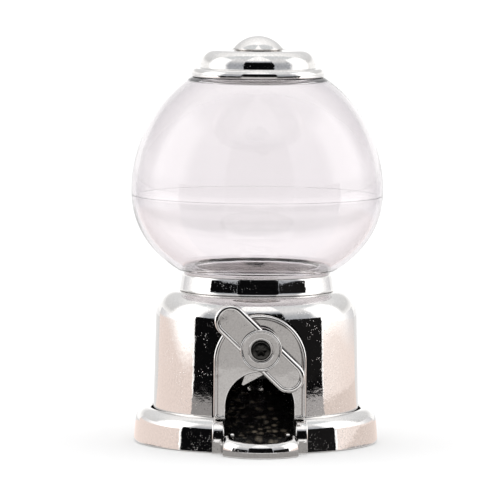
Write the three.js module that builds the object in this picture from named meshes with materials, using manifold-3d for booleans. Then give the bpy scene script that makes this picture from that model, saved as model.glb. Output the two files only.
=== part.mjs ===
// Miniature gumball machine: a clear two-piece globe under a lift-off lid, on a round plated
// body whose wing knob turns a vaned wheel that drops sweets down a chute into a scoop tray.
// Millimetres, +Z up, the machine's axis on Z, the underside at Z = 0 and the front towards -Y.
import * as THREE from "three";
import { mergeVertices } from "three/addons/utils/BufferGeometryUtils.js";
import Module from "manifold-3d";

const wasm = await Module();
wasm.setup();

// ---- driving dimensions -------------------------------------------------------------------

const ROUND_STEPS = 36; // sides of a large turned piece
const SMALL_STEPS = 16; // sides of a screw, shaft or hole
const GAP = 0.3; // clearance between neighbouring pieces
const OVERCUT = 1; // how far a cutting tool runs past the face it cuts

const FOOT = { height: 8, topRadius: 28.2, bottomRadius: 28.6, round: 3.2, bore: 24.6, wall: 1.4 };
const FOOT_HOLLOW = { top: 6, cove: 0.8 };
const CHEEK = { inner: 8.2, outer: 11, front: 28.3, back: 24.7, top: 7.4, roundAhead: 3.3, roundUp: 4.2 };
const CHEEK_LAP = 0.1; // how far the ring's cut ends run into the cheeks
const BASE = { radius: 24.3, thickness: 1.8 };

const BODY = { bottom: 2.1, bottomRadius: 24.15, wallTop: 29.5, topRadius: 23.5, wall: 1.5 };
const SHOULDER = { radius: 18.3, top: 35.4, ceiling: 34.6, throat: 14 };
const COLLAR = { bottomRadius: 18, topRadius: 17.6, bottom: 35.7, top: 39.9, round: 1.1, bore: 16 };
const POST = { radius: 2.4, circle: 20.3, top: 16, angles: [90, 210, 330] };
const POST_CAP = 1.5; // solid top left above a post's screw hole

const PANEL = { halfWidth: 10.65, archHeight: 21.2, bottom: 7.7, front: 25.5, plate: 1.6, corner: 1.2 };
const PANEL_SKIRT = { back: 19.5, wall: 1.3 };
const BEAD = { width: 0.9, height: 0.5, corner: 0.6 };
const MOUTH = { halfWidth: 7.9, archHeight: 10.7 };

const TRAY = { halfWidth: 8.7, neck: 7.9, back: 24.7, shoulder: 28.6, corner: 33.2, front: 38.3 };
const TRAY_ROUND = 1; // rounding where the scoop's sides meet its curved front
const TRAY_WALL = { side: 1.3, floor: 1.4, lip: 3.5, rear: 4.8 };

const AXLE = 24.2; // height of the knob, spindle and wheel axis
const WHEEL = { radius: 10.1, hub: 3.4, front: 18.3, back: 4.2, vanes: 4, firstVane: 248 };
const VANE = { tipHalf: 2.5, leadAngle: 12, rootAngle: 16, rootRise: 4.6, webAngle: 38, webRise: 3.3 };
const HOUSING = { inner: 11, outer: 12.2, front: 17.9, back: 3.4, plate: 1.4, top: 32.5, bottom: 14.9 };
const CHUTE = { inner: 8, outer: 9, front: 23.6, step: 18.7, back: 2, tall: 19, low: 14.5 };
const RAMP = { top: 12, bottom: 3.3, thickness: 1.2, lap: 0.5 };
const CHUTE_POST = { radius: 2.2, x: 5, front: 7, top: 9 };

const SPINDLE = { journal: 2.2, shaft: 1.6, front: 29.6, step: 19, back: 1.2 };
const SPINDLE_HOLE = { radius: 1.2, depth: 8, screwDepth: 7 };
const KNOB = { hub: 4.8, back: 26.5, front: 31.6, bore: 2.5, counterbore: 2.7, floor: 29.9, edge: 0.3 };
const WING = { longReach: 9.7, shortReach: 8.9, lobe: 3.7, tilt: 136, back: 28, front: 31, bevel: 0.6 };
const WING_DISH = { inset: 1.1, depth: 0.5 };
const RING = { outer: 4.1, inner: 3.1, depth: 0.3 };

const FUNNEL = { radius: 15.6, rim: 37, centre: 35.9, rimUnder: 35.7, throatUnder: 35.3, centreUnder: 34.9 };
const FUNNEL_HOLE = { radius: 6, front: 7 };

const GLOBE = { radius: 29.5, equator: 58.7, rise: 31.4, drop: 23.2, wall: 1.3, top: 84.8, bottom: 40.2 };
const SEAM = 57.6; // height of the joint between the globe's halves
const TONGUE = { height: 1.5, thickness: 0.5, gap: 0.2 };
const NECK = { radius: 15.7, bore: 14.4, bottom: 37.3 };
const MOUTH_RING = { radius: 14.4, bore: 13.2, bottom: 84.9, top: 86.6 };

const LID = { radius: 13.5, foot: 13.65, top: 91.7, round: 3.5, wall: 1.2, hole: 1.2 };
const FLANGE = { radius: 15.6, bottom: 84.95, top: 87.5, round: 1, pocket: 14.7, pocketTop: 86.9 };
const PLUG = { radius: 12.9, bore: 11.9, bottom: 83.8, coving: 2.4 };
const DOME = { radius: 5.8, bottom: 91.8, top: 95, holeTop: 93.6, holeTip: 93.8 };

const SCREW = { head: 2.3, headHeight: 1.2, edge: 0.5, shank: 1, sink: 0.2, land: 0.1, tip: 7, point: 0.8 };
const SCREW_SEAT = 0.1; // clearance under a screw's head
const LID_SCREW = { shankTop: 93.2, tip: 93.4 };
const SOCKET = { radius: 1.2, depth: 0.9, sides: 6 };

// ---- solids -------------------------------------------------------------------------------

function solidOf(geometry) {
  const bare = geometry.clone();
  bare.deleteAttribute("normal");
  bare.deleteAttribute("uv");
  const merged = mergeVertices(bare, 1e-4);
  const mesh = new wasm.Mesh({
    numProp: 3,
    vertProperties: merged.attributes.position.array,
    triVerts: new Uint32Array(merged.index.array),
  });
  return new wasm.Manifold(mesh);
}

function geometryOf(solid) {
  const mesh = solid.getMesh();
  const geometry = new THREE.BufferGeometry();
  geometry.setAttribute("position", new THREE.BufferAttribute(mesh.vertProperties, 3));
  geometry.setIndex(new THREE.BufferAttribute(mesh.triVerts, 1));
  geometry.computeVertexNormals();
  return geometry;
}

function cut(body, ...tools) {
  return geometryOf(tools.reduce((left, tool) => left.subtract(solidOf(tool)), solidOf(body)));
}

function join(body, ...others) {
  return geometryOf(others.reduce((sum, other) => sum.add(solidOf(other)), solidOf(body)));
}

// A solid turned about Z. The profile lists [radius, height] up the outside and down the inside.
function turned(profile, steps = ROUND_STEPS) {
  const points = profile.map(([radius, height]) => new THREE.Vector2(radius, height));
  if (profile[0][0] > 0 || profile[profile.length - 1][0] > 0) points.push(points[0].clone());
  return new THREE.LatheGeometry(points, steps).rotateX(Math.PI / 2);
}

// A disc, ring or stepped shaft turned about the knob's axis. Its profile lists [radius, front].
function turnedForward(profile, steps = SMALL_STEPS) {
  return turned(profile, steps).rotateX(Math.PI / 2).translate(0, 0, AXLE);
}

// A flat outline in the X-Z plane, run forward from one distance ahead of the axis to another.
function extrudedForward(shape, back, front, bevel = 0) {
  const geometry = new THREE.ExtrudeGeometry(shape, {
    depth: front - back - bevel,
    curveSegments: 8,
    bevelEnabled: bevel > 0,
    bevelThickness: bevel,
    bevelSize: bevel,
    bevelOffset: -bevel,
    bevelSegments: 2,
  });
  return geometry.rotateX(Math.PI / 2).translate(0, -back, 0);
}

// A flat outline in [front, height], run across the machine from -halfWidth to +halfWidth.
function extrudedAcross(points, left, right) {
  const shape = new THREE.Shape(points.map(([front, height]) => new THREE.Vector2(front, height)));
  const geometry = new THREE.ExtrudeGeometry(shape, { depth: right - left, bevelEnabled: false });
  const across = new THREE.Matrix4().makeBasis(
    new THREE.Vector3(0, -1, 0),
    new THREE.Vector3(0, 0, 1),
    new THREE.Vector3(-1, 0, 0),
  );
  return geometry.applyMatrix4(across).translate(right, 0, 0);
}

function cylinder(radius, bottom, top, x = 0, y = 0, steps = SMALL_STEPS) {
  const geometry = new THREE.CylinderGeometry(radius, radius, top - bottom, steps);
  return geometry.rotateX(Math.PI / 2).translate(x, y, (top + bottom) / 2);
}

function box(left, right, back, front, bottom, top) {
  const geometry = new THREE.BoxGeometry(right - left, front - back, top - bottom);
  return geometry.translate((left + right) / 2, -(back + front) / 2, (bottom + top) / 2);
}

// Points on an elliptical arc, angles in degrees from the outward direction.
function arc(centreRadius, centreHeight, radius, height, from, to, steps) {
  const points = [];
  for (let i = 0; i <= steps; i += 1) {
    const angle = THREE.MathUtils.degToRad(from + ((to - from) * i) / steps);
    points.push([centreRadius + radius * Math.cos(angle), centreHeight + height * Math.sin(angle)]);
  }
  return points;
}

// An upright outline with straight sides and a round top.
function archShape(halfWidth, archHeight, bottom, corner = 0) {
  const shape = new THREE.Shape();
  shape.moveTo(-halfWidth + corner, bottom);
  shape.lineTo(halfWidth - corner, bottom);
  if (corner > 0) shape.absarc(halfWidth - corner, bottom + corner, corner, -Math.PI / 2, 0);
  shape.absarc(0, archHeight, halfWidth, 0, Math.PI);
  if (corner > 0) shape.absarc(-halfWidth + corner, bottom + corner, corner, Math.PI, 1.5 * Math.PI);
  return shape;
}

// The angle in degrees at which an arc of this half-height reaches a height above its centre.
function angleAt(height, halfHeight) {
  return THREE.MathUtils.radToDeg(Math.asin(height / halfHeight));
}

function polar(radius, degrees) {
  const angle = THREE.MathUtils.degToRad(degrees);
  return [radius * Math.cos(angle), radius * Math.sin(angle)];
}

// ---- lid ----------------------------------------------------------------------------------

function lidCap() {
  const beadHeight = (FLANGE.top - FLANGE.bottom) / 2;
  const beadCentre = FLANGE.bottom + beadHeight;
  const inside = LID.top - LID.wall;
  return turned([
    [FLANGE.pocket, FLANGE.bottom],
    ...arc(FLANGE.radius - FLANGE.round, beadCentre, FLANGE.round, beadHeight, -90, 90, 6),
    [LID.foot, FLANGE.top],
    ...arc(LID.radius - LID.round, LID.top - LID.round, LID.round, LID.round, 0, 90, 5),
    [LID.hole, LID.top],
    [LID.hole, inside],
    [PLUG.bore - PLUG.coving, inside],
    [PLUG.bore, inside - PLUG.coving],
    [PLUG.bore, PLUG.bottom],
    [PLUG.radius, PLUG.bottom],
    [PLUG.radius, FLANGE.pocketTop],
    [FLANGE.pocket, FLANGE.pocketTop],
  ]);
}

function lidKnob() {
  const height = DOME.top - DOME.bottom;
  const ball = (DOME.radius * DOME.radius + height * height) / (2 * height);
  const centre = DOME.top - ball;
  const hole = SCREW.shank + GAP / 2;
  return turned([
    ...arc(0, centre, ball, ball, angleAt(DOME.bottom - centre, ball), 90, 6),
    [0, DOME.holeTip],
    [hole, DOME.holeTop],
    [hole, DOME.bottom],
  ], 24);
}

function lidKnobScrew() {
  const seat = LID.top - LID.wall - SCREW_SEAT;
  const underside = seat - SCREW.headHeight;
  return turned([
    [0, underside],
    [SCREW.head - SCREW.edge, underside],
    [SCREW.head, underside + SCREW.edge],
    [SCREW.head, seat],
    [SCREW.shank, seat],
    [SCREW.shank, LID_SCREW.shankTop],
    [0, LID_SCREW.tip],
  ], SMALL_STEPS);
}

// ---- globe --------------------------------------------------------------------------------

function globeUpper() {
  const { radius, equator, rise, wall, top } = GLOBE;
  const innerRise = rise - wall;
  const foot = SEAM + GAP;
  const rebateTop = foot + TONGUE.height;
  const rebate = radius - wall + TONGUE.thickness + TONGUE.gap;
  const outerFrom = angleAt(foot - equator, rise);
  const outerTo = angleAt(top - equator, rise);
  const innerFrom = angleAt(top - wall - equator, innerRise);
  const innerTo = angleAt(rebateTop - equator, innerRise);
  return turned([
    ...arc(0, equator, radius, rise, outerFrom, outerTo, 9),
    [MOUTH_RING.radius, MOUTH_RING.bottom],
    [MOUTH_RING.radius, MOUTH_RING.top],
    [MOUTH_RING.bore, MOUTH_RING.top],
    [MOUTH_RING.bore, top - wall],
    ...arc(0, equator, radius - wall, innerRise, innerFrom, innerTo, 9),
    [rebate, rebateTop],
    [rebate, foot],
  ]);
}

function globeLower() {
  const { radius, equator, drop, wall, bottom } = GLOBE;
  const innerDrop = drop - wall;
  const tongue = radius - wall + TONGUE.thickness;
  const outerFrom = angleAt(bottom - equator, drop);
  const outerTo = angleAt(SEAM - equator, drop);
  const innerFrom = angleAt(SEAM - equator, innerDrop);
  const innerTo = angleAt(bottom + wall - equator, innerDrop);
  return turned([
    [NECK.bore, NECK.bottom],
    [NECK.radius, NECK.bottom],
    [NECK.radius, bottom],
    ...arc(0, equator, radius, drop, outerFrom, outerTo, 8),
    [tongue, SEAM],
    [tongue, SEAM + TONGUE.height],
    [radius - wall, SEAM + TONGUE.height],
    ...arc(0, equator, radius - wall, innerDrop, innerFrom, innerTo, 8),
    [NECK.bore, bottom + wall],
  ]);
}

// ---- body ---------------------------------------------------------------------------------

function bodyShell() {
  const shoulderRise = SHOULDER.top - BODY.wallTop;
  const shoulderWidth = BODY.topRadius - SHOULDER.radius;
  const ceilingRise = SHOULDER.ceiling - BODY.wallTop;
  const shell = turned([
    [BODY.bottomRadius, BODY.bottom],
    ...arc(SHOULDER.radius, BODY.wallTop, shoulderWidth, shoulderRise, 0, 90, 6),
    [SHOULDER.throat, SHOULDER.top],
    [SHOULDER.throat, SHOULDER.ceiling],
    ...arc(SHOULDER.radius, BODY.wallTop, shoulderWidth - BODY.wall, ceilingRise, 90, 0, 5),
    [BODY.bottomRadius - BODY.wall, BODY.bottom],
  ]);
  const posts = POST.angles.map((degrees) => {
    const [x, y] = polar(POST.circle, degrees);
    return screwPost(POST.radius, POST.top, x, y);
  });
  const doorway = archShape(PANEL.halfWidth + GAP, PANEL.archHeight, BODY.bottom - OVERCUT);
  return join(cut(shell, extrudedForward(doorway, CHUTE.outer, PANEL.front)), ...posts);
}

// An upright post inside the body, bored from below for a base screw.
function screwPost(radius, top, x, y) {
  return cut(
    cylinder(radius, BODY.bottom, top, x, y),
    cylinder(SCREW.shank + GAP, BODY.bottom - OVERCUT, top - POST_CAP, x, y),
  );
}

function collarRing() {
  const { bottomRadius, topRadius, bottom, top, round, bore } = COLLAR;
  return turned([
    [bottomRadius, bottom],
    ...arc(topRadius - round, top - round, round, round, 0, 90, 3),
    [bore, top],
    [bore, bottom],
  ]);
}

function footRing() {
  const { height, topRadius, bottomRadius, round, bore, wall } = FOOT;
  const ring = turned([
    [bottomRadius, 0],
    ...arc(topRadius - round, height - round, round, round, 0, 90, 5),
    [bore, height],
    [bore, 0],
    [bore + wall, 0],
    [bore + wall, FOOT_HOLLOW.top],
    [bottomRadius - wall - FOOT_HOLLOW.cove, FOOT_HOLLOW.top - FOOT_HOLLOW.cove],
    [bottomRadius - wall, 0],
  ]);
  const gapSide = CHEEK.outer - CHEEK_LAP;
  const gap = box(-gapSide, gapSide, 0, bottomRadius + OVERCUT, -OVERCUT, height + OVERCUT);
  const { roundAhead, roundUp } = CHEEK;
  const cheekOutline = [
    [CHEEK.back, 0],
    [CHEEK.front, 0],
    ...arc(CHEEK.front - roundAhead, CHEEK.top - roundUp, roundAhead, roundUp, 0, 90, 5),
    [CHEEK.back, CHEEK.top],
  ];
  return join(
    cut(ring, gap),
    extrudedAcross(cheekOutline, CHEEK.inner, CHEEK.outer),
    extrudedAcross(cheekOutline, -CHEEK.outer, -CHEEK.inner),
  );
}

function basePlate() {
  const plate = turned([
    [0, 0],
    [BASE.radius, 0],
    [BASE.radius, BASE.thickness],
    [0, BASE.thickness],
  ]);
  return cut(plate, ...screwPlaces().map(([, x, y]) => countersink(x, y)));
}

function countersink(x, y) {
  return turned([
    [0, -OVERCUT],
    [SCREW.head + GAP, -OVERCUT],
    [SCREW.head + GAP, SCREW.sink + SCREW.land],
    [SCREW.shank + GAP, SCREW.sink + SCREW.headHeight],
    [SCREW.shank + GAP, BASE.thickness + OVERCUT],
    [0, BASE.thickness + OVERCUT],
  ], SMALL_STEPS).translate(x, y, 0);
}

// ---- front: panel, tray, chute ------------------------------------------------------------

function frontPanel() {
  const { halfWidth, archHeight, bottom, front, plate, corner } = PANEL;
  const { back, wall } = PANEL_SKIRT;
  const face = extrudedForward(archShape(halfWidth, archHeight, bottom, corner), back, front);
  const hollow = archShape(halfWidth - wall, archHeight, bottom - OVERCUT);
  const bead = archShape(halfWidth, archHeight, bottom, corner);
  bead.holes.push(archShape(halfWidth - BEAD.width, archHeight, bottom + BEAD.width, BEAD.corner));
  const mouth = archShape(MOUTH.halfWidth, MOUTH.archHeight, bottom - OVERCUT);
  return cut(
    join(face, extrudedForward(bead, front - BEAD.height, front + BEAD.height)),
    extrudedForward(hollow, back - OVERCUT, front - plate),
    extrudedForward(mouth, back - OVERCUT, front + BEAD.height + OVERCUT),
    turnedForward(rod(KNOB.bore, back, front + OVERCUT)),
  );
}

function rod(radius, back, front) {
  return [[0, back], [radius, back], [radius, front], [0, front]];
}

// The scoop's plan, inset evenly from its outer wall: a neck between the cheeks, then a wider
// part with straight sides and a curved front.
function trayOutline(inset) {
  const sag = TRAY.front - TRAY.corner;
  const outerRadius = (TRAY.halfWidth * TRAY.halfWidth + sag * sag) / (2 * sag);
  const centre = TRAY.front - outerRadius;
  const radius = outerRadius - inset;
  const halfWidth = TRAY.halfWidth - inset;
  const neck = TRAY.neck - inset;
  const half = Math.asin((halfWidth - TRAY_ROUND) / radius);
  const sideEnd = centre + radius * Math.cos(half) - TRAY_ROUND;
  const shape = new THREE.Shape();
  shape.moveTo(-neck, -TRAY.back);
  shape.lineTo(-neck, -TRAY.shoulder);
  shape.lineTo(-halfWidth, -TRAY.shoulder);
  shape.lineTo(-halfWidth, -sideEnd);
  shape.absarc(0, -centre, radius, -Math.PI / 2 - half, -Math.PI / 2 + half);
  shape.lineTo(halfWidth, -sideEnd);
  shape.lineTo(halfWidth, -TRAY.shoulder);
  shape.lineTo(neck, -TRAY.shoulder);
  shape.lineTo(neck, -TRAY.back);
  return shape;
}

function candyTray() {
  const { side, floor, lip, rear } = TRAY_WALL;
  const raised = (inset, bottom, top) => {
    const options = { depth: top - bottom, bevelEnabled: false, curveSegments: 14 };
    return new THREE.ExtrudeGeometry(trayOutline(inset), options).translate(0, 0, bottom);
  };
  const inner = TRAY.neck - side;
  const rearMouth = box(-inner, inner, TRAY.back - OVERCUT, TRAY.shoulder, floor, rear + OVERCUT);
  const slope = extrudedAcross([
    [TRAY.shoulder, rear],
    [TRAY.front + OVERCUT, lip],
    [TRAY.front + OVERCUT, rear + OVERCUT],
    [TRAY.shoulder, rear + OVERCUT],
  ], -TRAY.halfWidth - OVERCUT, TRAY.halfWidth + OVERCUT);
  return cut(raised(0, 0, rear), raised(side, floor, rear + OVERCUT), rearMouth, slope);
}

function chute() {
  const { inner, outer, front, step, back, tall, low } = CHUTE;
  const wallOutline = [
    [back, BODY.bottom],
    [front, BODY.bottom],
    [front, tall],
    [step, tall],
    [step, low],
    [back, low],
  ];
  const rampOutline = [
    [back, RAMP.top - RAMP.thickness],
    [front, RAMP.bottom - RAMP.thickness],
    [front, RAMP.bottom],
    [back, RAMP.top],
  ];
  const posts = [-CHUTE_POST.x, CHUTE_POST.x].map((x) =>
    screwPost(CHUTE_POST.radius, CHUTE_POST.top, x, -CHUTE_POST.front),
  );
  return join(
    extrudedAcross(rampOutline, -inner - RAMP.lap, inner + RAMP.lap),
    extrudedAcross(wallOutline, inner, outer),
    extrudedAcross(wallOutline, -outer, -inner),
    ...posts,
  );
}

// ---- mechanism ----------------------------------------------------------------------------

function hopperFunnel() {
  const dish = turned([
    [0, FUNNEL.centreUnder],
    [SHOULDER.throat - GAP, FUNNEL.throatUnder],
    [SHOULDER.throat - GAP, FUNNEL.rimUnder],
    [FUNNEL.radius, FUNNEL.rimUnder],
    [FUNNEL.radius, FUNNEL.rim],
    [0, FUNNEL.centre],
  ]);
  const { radius, front } = FUNNEL_HOLE;
  return cut(dish, cylinder(radius, FUNNEL.centreUnder - OVERCUT, FUNNEL.rim + OVERCUT, 0, -front));
}

function wheelHousing() {
  const { inner, outer, front, back, plate, top, bottom } = HOUSING;
  const barrel = turnedForward(rod(outer, back - plate, front), ROUND_STEPS);
  const hollow = turnedForward(rod(inner, back, front + OVERCUT), ROUND_STEPS);
  const bearing = turnedForward(rod(SPINDLE.shaft + GAP, 0, back + OVERCUT));
  const mouth = box(-MOUTH.halfWidth, MOUTH.halfWidth, back, front + OVERCUT, 0, AXLE);
  const above = box(-outer, outer, 0, front + OVERCUT, top, top + outer);
  const below = box(-outer, outer, 0, front + OVERCUT, 0, bottom);
  return cut(barrel, hollow, bearing, mouth, above, below);
}

function dispensingWheel() {
  const outline = [];
  for (let i = 0; i < WHEEL.vanes; i += 1) {
    const tip = WHEEL.firstVane + (360 / WHEEL.vanes) * i;
    outline.push(polar(WHEEL.hub, tip - VANE.leadAngle));
    outline.push(polar(WHEEL.radius, tip - VANE.tipHalf));
    outline.push(polar(WHEEL.radius, tip + VANE.tipHalf));
    outline.push(polar(WHEEL.hub + VANE.rootRise, tip + VANE.rootAngle));
    outline.push(polar(WHEEL.hub + VANE.webRise, tip + VANE.webAngle));
  }
  const star = new THREE.Shape(outline.map(([x, z]) => new THREE.Vector2(x, z)));
  return cut(
    extrudedForward(star, WHEEL.back, WHEEL.front).translate(0, 0, AXLE),
    turnedForward(rod(SPINDLE.shaft + GAP / 2, 0, WHEEL.front + OVERCUT)),
  );
}

function driveSpindle() {
  const shaft = turnedForward([
    [0, SPINDLE.back],
    [SPINDLE.shaft, SPINDLE.back],
    [SPINDLE.shaft, SPINDLE.step],
    [SPINDLE.journal, SPINDLE.step],
    [SPINDLE.journal, SPINDLE.front],
    [0, SPINDLE.front],
  ]);
  const { radius, depth } = SPINDLE_HOLE;
  return cut(shaft, turnedForward(rod(radius, SPINDLE.front - depth, SPINDLE.front + OVERCUT)));
}

function wingShape(inset) {
  const shape = new THREE.Shape();
  const radius = WING.lobe - inset;
  shape.absarc(WING.longReach, 0, radius, -Math.PI / 2, Math.PI / 2);
  shape.absarc(-WING.shortReach, 0, radius, Math.PI / 2, 1.5 * Math.PI);
  return shape;
}

function wingKnob() {
  const { back, front, bevel, tilt } = WING;
  const { inset, depth } = WING_DISH;
  const turn = (geometry) => geometry.rotateY(-THREE.MathUtils.degToRad(tilt)).translate(0, 0, AXLE);
  const wings = turn(extrudedForward(wingShape(0), back, front, bevel));
  const dish = turn(extrudedForward(wingShape(inset), front - depth, front + OVERCUT));
  const hub = turnedForward([
    [0, KNOB.back],
    [KNOB.hub, KNOB.back],
    [KNOB.hub, KNOB.front - KNOB.edge],
    [KNOB.hub - KNOB.edge, KNOB.front],
    [RING.outer, KNOB.front],
    [RING.outer, KNOB.front - RING.depth],
    [RING.inner, KNOB.front - RING.depth],
    [RING.inner, KNOB.front],
    [0, KNOB.front],
  ], 28);
  const steppedBore = turnedForward([
    [0, KNOB.back - OVERCUT],
    [KNOB.bore, KNOB.back - OVERCUT],
    [KNOB.bore, KNOB.floor],
    [KNOB.counterbore, KNOB.floor],
    [KNOB.counterbore, KNOB.front + OVERCUT],
    [0, KNOB.front + OVERCUT],
  ]);
  return cut(join(cut(wings, dish), hub), steppedBore);
}

function knobScrew() {
  const seat = KNOB.floor + SCREW_SEAT;
  const face = seat + SCREW.headHeight;
  const tip = SPINDLE.front - SPINDLE_HOLE.screwDepth;
  const head = turnedForward([
    [0, tip],
    [SCREW.shank, tip],
    [SCREW.shank, seat],
    [SCREW.head, seat],
    [SCREW.head, face - SCREW.edge],
    [SCREW.head - SCREW.edge, face],
    [0, face],
  ]);
  const socket = rod(SOCKET.radius, face - SOCKET.depth, face + OVERCUT);
  return cut(head, turnedForward(socket, SOCKET.sides));
}

// Countersunk screws that hold the base plate to the body's posts and to the chute's posts.
function screwPlaces() {
  const { circle, angles } = POST;
  const { x, front } = CHUTE_POST;
  return [
    ...angles.map((degrees, i) => [`base_screw_${i + 1}`, ...polar(circle, degrees)]),
    ["chute_screw_1", -x, -front],
    ["chute_screw_2", x, -front],
  ];
}

function baseScrew(x, y) {
  const screw = turned([
    [0, SCREW.sink],
    [SCREW.head - SCREW.land, SCREW.sink],
    [SCREW.head, SCREW.sink + SCREW.land],
    [SCREW.shank, SCREW.sink + SCREW.headHeight],
    [SCREW.shank, SCREW.tip - SCREW.point],
    [0, SCREW.tip],
  ], SMALL_STEPS);
  const socket = cylinder(SOCKET.radius, 0, SCREW.sink + SOCKET.depth, 0, 0, SOCKET.sides);
  return cut(screw, socket).translate(x, y, 0);
}

// ---- assembly -----------------------------------------------------------------------------

const CHROME = { color: 0xd9d4cf, roughness: 0.06, metalness: 1 };
const CLEAR = { color: 0xf2f0f4, roughness: 0.03, metalness: 0, transparent: true, opacity: 0.3 };
const BLACK = { color: 0x0b0b0c, roughness: 0.2, metalness: 0 };
const STEEL = { color: 0x8d8d90, roughness: 0.3, metalness: 1 };

function piece(name, geometry, finish) {
  const mesh = new THREE.Mesh(geometry, new THREE.MeshStandardMaterial(finish));
  mesh.name = name;
  return mesh;
}

function assembly(...pieces) {
  const made = new THREE.Group();
  made.add(...pieces);
  return made;
}

const lid = assembly(
  piece("lid_cap", lidCap(), CHROME),
  piece("lid_knob", lidKnob(), CHROME),
  piece("lid_knob_screw", lidKnobScrew(), STEEL),
);

const globe = assembly(
  piece("globe_upper", globeUpper(), CLEAR),
  piece("globe_lower", globeLower(), CLEAR),
);

const body = assembly(
  piece("body_shell", bodyShell(), CHROME),
  piece("collar_ring", collarRing(), CHROME),
  piece("foot_ring", footRing(), CHROME),
  piece("base_plate", basePlate(), BLACK),
  ...screwPlaces().map(([name, x, y]) => piece(name, baseScrew(x, y), STEEL)),
  piece("front_panel", frontPanel(), CHROME),
  piece("candy_tray", candyTray(), CHROME),
  piece("chute", chute(), BLACK),
  piece("hopper_funnel", hopperFunnel(), CHROME),
  piece("wheel_housing", wheelHousing(), BLACK),
);

const knobDrive = assembly(
  piece("wing_knob", wingKnob(), CHROME),
  piece("knob_screw", knobScrew(), STEEL),
  piece("drive_spindle", driveSpindle(), STEEL),
  piece("dispensing_wheel", dispensingWheel(), CHROME),
);

const gumballMachine = assembly(lid, globe, body, knobDrive);
export default gumballMachine;
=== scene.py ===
"""Miniature gumball machine: fine meshes, materials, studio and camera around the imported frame."""
import math

import bmesh
import bpy
from mathutils import Matrix, Vector


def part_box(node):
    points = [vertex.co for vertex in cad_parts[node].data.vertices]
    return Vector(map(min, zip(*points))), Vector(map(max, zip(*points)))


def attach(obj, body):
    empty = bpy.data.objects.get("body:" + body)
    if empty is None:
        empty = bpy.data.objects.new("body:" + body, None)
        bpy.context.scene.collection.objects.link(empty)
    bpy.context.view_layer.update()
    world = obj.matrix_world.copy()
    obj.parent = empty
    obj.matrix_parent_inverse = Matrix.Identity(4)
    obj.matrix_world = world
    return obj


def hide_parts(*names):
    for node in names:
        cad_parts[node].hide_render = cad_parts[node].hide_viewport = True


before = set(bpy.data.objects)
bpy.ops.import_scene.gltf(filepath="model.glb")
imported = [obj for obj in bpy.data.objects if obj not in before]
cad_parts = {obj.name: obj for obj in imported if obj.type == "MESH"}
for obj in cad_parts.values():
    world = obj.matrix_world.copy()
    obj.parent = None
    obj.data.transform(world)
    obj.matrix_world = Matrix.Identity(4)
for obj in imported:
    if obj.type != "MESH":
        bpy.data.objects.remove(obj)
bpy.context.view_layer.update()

MM = 0.001


# ---- the frame's measures, in millimetres -------------------------------------------------

class Extent:
    """A CAD node's box at rest. front and back are distances ahead of the machine's axis."""

    def __init__(self, node):
        low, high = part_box(node)
        self.x0, self.y0, self.z0 = (v / MM for v in low)
        self.x1, self.y1, self.z1 = (v / MM for v in high)
        self.radius = (self.x1 - self.x0) / 2
        self.front, self.back = -self.y0, -self.y1
        self.plan = (self.x0 + self.x1) / 2, (self.y0 + self.y1) / 2
        self.middle = (self.z0 + self.z1) / 2


LID = Extent("lid_cap")
DOME = Extent("lid_knob")
UPPER = Extent("globe_upper")
LOWER = Extent("globe_lower")
COLLAR = Extent("collar_ring")
BODY = Extent("body_shell")
FOOT = Extent("foot_ring")
BASE = Extent("base_plate")
PANEL = Extent("front_panel")
TRAY = Extent("candy_tray")
FUNNEL = Extent("hopper_funnel")
KNOB = Extent("wing_knob")
SCREW = Extent("knob_screw")
SPINDLE = Extent("drive_spindle")
WHEEL = Extent("dispensing_wheel")
AXLE = SPINDLE.middle

ROUND = 192  # steps round a large turned piece
FINE = 96  # steps round a small one
CREASE = 32  # degrees past which an edge stays sharp


# ---- outlines -----------------------------------------------------------------------------

def arc(centre, radii, start, end, steps):
    """Points on an elliptical arc, angles in degrees."""
    points = []
    for i in range(steps + 1):
        a = math.radians(start + (end - start) * i / steps)
        points.append((centre[0] + radii[0] * math.cos(a), centre[1] + radii[1] * math.sin(a)))
    return points


def eased(corners, steps=5):
    """A closed profile from (r, z, rounding) corners, each rounded by its own radius."""
    points = []
    count = len(corners)
    for i, (x, y, rounding) in enumerate(corners):
        if rounding == 0:
            points.append((x, y))
            continue
        here = Vector((x, y))
        before = Vector(corners[i - 1][:2]) - here
        after = Vector(corners[(i + 1) % count][:2]) - here
        half = before.angle(after) / 2
        reach = min(rounding / math.tan(half), 0.48 * before.length, 0.48 * after.length)
        radius = reach * math.tan(half)
        centre = here + (before.normalized() + after.normalized()).normalized() * (radius / math.sin(half))
        first = here + before.normalized() * reach - centre
        last = here + after.normalized() * reach - centre
        turn = first.angle_signed(last)
        for k in range(steps + 1):
            a = -turn * k / steps
            points.append((centre.x + first.x * math.cos(a) - first.y * math.sin(a),
                           centre.y + first.x * math.sin(a) + first.y * math.cos(a)))
    return points


def quarter(steps, first=0):
    """Angles that step through a quarter turn, in radians."""
    return [math.pi / 2 * i / steps for i in range(first, steps + 1)]


# ---- meshes -------------------------------------------------------------------------------

def mesh_from(name, bm):
    mesh = bpy.data.meshes.new(name)
    bm.to_mesh(mesh)
    bm.free()
    return mesh


def smoothed(mesh, crease=CREASE):
    for polygon in mesh.polygons:
        polygon.use_smooth = True
    mesh.set_sharp_from_angle(angle=math.radians(crease))
    return mesh


def add_object(name, mesh):
    made = bpy.data.objects.new(name, mesh)
    bpy.context.scene.collection.objects.link(made)
    return made


def mesh_object(name, bm, crease=CREASE):
    """Turns a bmesh in millimetres into a smooth object in metres, sharp past the crease angle."""
    bmesh.ops.remove_doubles(bm, verts=bm.verts, dist=1e-4)
    bmesh.ops.scale(bm, vec=(MM, MM, MM), verts=bm.verts)
    bmesh.ops.recalc_face_normals(bm, faces=bm.faces)
    return add_object(name, smoothed(mesh_from(name, bm), crease))


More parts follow.
